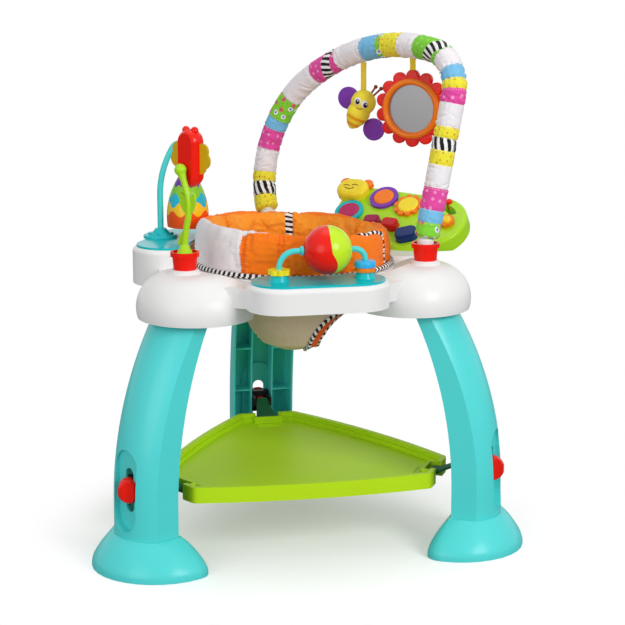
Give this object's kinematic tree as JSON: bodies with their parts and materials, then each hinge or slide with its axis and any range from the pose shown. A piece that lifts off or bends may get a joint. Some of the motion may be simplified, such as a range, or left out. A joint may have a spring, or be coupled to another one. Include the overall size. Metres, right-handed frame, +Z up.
{
  "type": "baby jumper",
  "caption": "Three-legged baby jumper with a turning padded seat in a toy tray, a sprung bounce platform, hanging and spinning toys and a padded toy bar.",
  "frame": {"origin": "on the floor, under the middle of the seat", "axes": "+Z up; -Y towards the front toy station; +X to the right of someone facing the front station"},
  "size_m": [0.633, 0.581, 0.7345],
  "materials": {
    "white_plastic": "smooth moulded",
    "turquoise_plastic": "smooth moulded",
    "red_plastic": "smooth moulded",
    "lime_plastic": "smooth moulded",
    "black_plastic": "fine grain",
    "teal_plastic": "smooth moulded",
    "orange_plastic": "smooth moulded",
    "yellow_plastic": "smooth moulded",
    "purple_plastic": "smooth moulded",
    "amber_plastic": "smooth translucent",
    "blue_plastic": "smooth moulded",
    "pink_plastic": "smooth moulded",
    "strap_rubber": "matte",
    "sleeve_fabric": "patchwork",
    "orange_fabric": "quilted",
    "piping_fabric": "black and white stripes",
    "sling_fabric": "woven",
    "yellow_matte": "soft matte moulded",
    "ribbon": "woven ribbon",
    "mirror": "polished plastic mirror"
  },
  "bodies": {
    "frame": {"tray": "white_plastic", "leg_left": "turquoise_plastic", "leg_right": "turquoise_plastic", "leg_back": "turquoise_plastic", "foot_left": "turquoise_plastic", "foot_right": "turquoise_plastic", "foot_back": "turquoise_plastic", "cup_left": "red_plastic", "cup_right": "red_plastic", "cup_back": "red_plastic", "bar_core": "white_plastic", "bar_sleeve": "sleeve_fabric", "bird_stem": "lime_plastic", "egg_base": "teal_plastic", "egg_hook": "turquoise_plastic", "ball_plate": "teal_plastic", "ball_rod": "turquoise_plastic", "piano_base": "lime_plastic", "piano_head": "yellow_plastic", "piano_ears": "orange_plastic", "pad_rim_teal": "teal_plastic", "pad_rim_purple": "purple_plastic", "pad_rim_orange": "orange_plastic"},
    "seat": {"seat_ring": "white_plastic", "seat_cover": "orange_fabric", "seat_piping": "piping_fabric", "seat_sling": "sling_fabric"},
    "height": {"slider_left": "black_plastic", "slider_right": "black_plastic", "slider_back": "black_plastic", "strap_left": "strap_rubber", "strap_right": "strap_rubber", "strap_back": "strap_rubber"},
    "platform": {"platform": "lime_plastic"},
    "bird": {"bird_body": "red_plastic", "bird_wings": "amber_plastic"},
    "egg": {"egg_toy": "purple_plastic"},
    "ball": {"ball_red": "red_plastic", "ball_lime": "lime_plastic"},
    "bead_left": {"bead_yellow": "yellow_plastic"},
    "bead_right_low": {"bead_orange": "orange_plastic"},
    "bead_right_high": {"bead_blue": "blue_plastic"},
    "dial": {"piano_knob": "orange_plastic"},
    "button": {"piano_button": "red_plastic"},
    "bee": {"bee_strap": "ribbon", "bee_body": "yellow_matte", "bee_wings": "purple_plastic"},
    "mirror": {"mirror_strap": "ribbon", "mirror_frame": "red_plastic", "mirror_ring": "orange_plastic", "mirror_glass": "mirror"},
    "twist_left": {"knob_left": "red_plastic"},
    "twist_right": {"knob_right": "red_plastic"},
    "twist_back": {"knob_back": "red_plastic"},
    "press_pink": {"key_pink": "pink_plastic"},
    "press_red": {"key_red": "red_plastic"},
    "press_blue": {"key_blue": "blue_plastic"},
    "tap_pink": {"pad_pink": "pink_plastic"},
    "tap_orange": {"pad_orange": "orange_plastic"},
    "tap_yellow": {"pad_yellow": "yellow_plastic"}
  },
  "joints": [
    {"name": "seat_turn", "type": "hinge", "parent": "frame", "child": "seat", "pos_m": [0, 0, 0.4], "axis": [0, 0, 1], "continuous": true},
    {"name": "height_set", "type": "slide", "parent": "frame", "child": "height", "axis": [0, 0, 1], "range_m": [-0.019, 0.019]},
    {"name": "platform_bounce", "type": "slide", "parent": "height", "child": "platform", "axis": [0, 0, 1], "range_m": [-0.03, 0.01], "stiffness_N_per_m": 1500, "springref_m": 0.0036, "deforming": ["strap_left", "strap_right", "strap_back"]},
    {"name": "knob_twist_left", "type": "hinge", "parent": "height", "child": "twist_left", "pos_m": [-0.26327, -0.152, 0.117], "axis": [-0.866, -0.5, 0], "range_deg": [0, 90]},
    {"name": "knob_twist_right", "type": "hinge", "parent": "height", "child": "twist_right", "pos_m": [0.26327, -0.152, 0.117], "axis": [0.866, -0.5, 0], "range_deg": [0, 90]},
    {"name": "knob_twist_back", "type": "hinge", "parent": "height", "child": "twist_back", "pos_m": [0, 0.304, 0.117], "axis": [0, 1, 0], "range_deg": [0, 90]},
    {"name": "bird_spin", "type": "hinge", "parent": "frame", "child": "bird", "pos_m": [-0.17796, -0.09587, 0.558], "axis": [0.766, 0.6428, 0], "continuous": true},
    {"name": "egg_turn", "type": "hinge", "parent": "frame", "child": "egg", "pos_m": [-0.14151, 0.09788, 0.49], "axis": [0, 0, 1], "continuous": true},
    {"name": "ball_roll", "type": "hinge", "parent": "frame", "child": "ball", "pos_m": [0.013, -0.18, 0.453], "axis": [1, 0, 0], "continuous": true},
    {"name": "bead_yellow_turn", "type": "hinge", "parent": "frame", "child": "bead_left", "pos_m": [-0.055, -0.18, 0.42], "axis": [0, 0, 1], "continuous": true},
    {"name": "bead_orange_turn", "type": "hinge", "parent": "frame", "child": "bead_right_low", "pos_m": [0.066, -0.18, 0.42], "axis": [0, 0, 1], "continuous": true},
    {"name": "bead_blue_turn", "type": "hinge", "parent": "frame", "child": "bead_right_high", "pos_m": [0.066, -0.18, 0.43], "axis": [0, 0, 1], "continuous": true},
    {"name": "key_pink_press", "type": "slide", "parent": "frame", "child": "press_pink", "axis": [0.3687, 0.4394, -0.8192], "range_m": [0, 0.003], "stiffness_N_per_m": 200, "springref_m": -0.002},
    {"name": "key_red_press", "type": "slide", "parent": "frame", "child": "press_red", "axis": [0.3687, 0.4394, -0.8192], "range_m": [0, 0.003], "stiffness_N_per_m": 200, "springref_m": -0.002},
    {"name": "key_blue_press", "type": "slide", "parent": "frame", "child": "press_blue", "axis": [0.3687, 0.4394, -0.8192], "range_m": [0, 0.003], "stiffness_N_per_m": 200, "springref_m": -0.002},
    {"name": "pad_pink_press", "type": "slide", "parent": "frame", "child": "tap_pink", "axis": [0.3687, 0.4394, -0.8192], "range_m": [0, 0.002], "stiffness_N_per_m": 250, "springref_m": -0.002},
    {"name": "pad_orange_press", "type": "slide", "parent": "frame", "child": "tap_orange", "axis": [0.3687, 0.4394, -0.8192], "range_m": [0, 0.002], "stiffness_N_per_m": 250, "springref_m": -0.002},
    {"name": "pad_yellow_press", "type": "slide", "parent": "frame", "child": "tap_yellow", "axis": [0.3687, 0.4394, -0.8192], "range_m": [0, 0.002], "stiffness_N_per_m": 250, "springref_m": -0.002},
    {"name": "button_press", "type": "slide", "parent": "frame", "child": "button", "axis": [0.3687, 0.4394, -0.8192], "range_m": [0, 0.003], "stiffness_N_per_m": 120, "springref_m": -0.002},
    {"name": "dial_turn", "type": "hinge", "parent": "frame", "child": "dial", "pos_m": [0.24966, 0.05159, 0.44443], "axis": [-0.3687, -0.4394, 0.8192], "continuous": true},
    {"name": "bee_swing", "type": "hinge", "parent": "frame", "child": "bee", "pos_m": [0.12691, 0.09175, 0.68568], "axis": [0.8192, -0.5736, 0], "range_deg": [-30, 30]},
    {"name": "mirror_swing", "type": "hinge", "parent": "frame", "child": "mirror", "pos_m": [0.17997, 0.00456, 0.6968], "axis": [0.8192, -0.5736, 0], "range_deg": [-30, 30]}
  ]
}
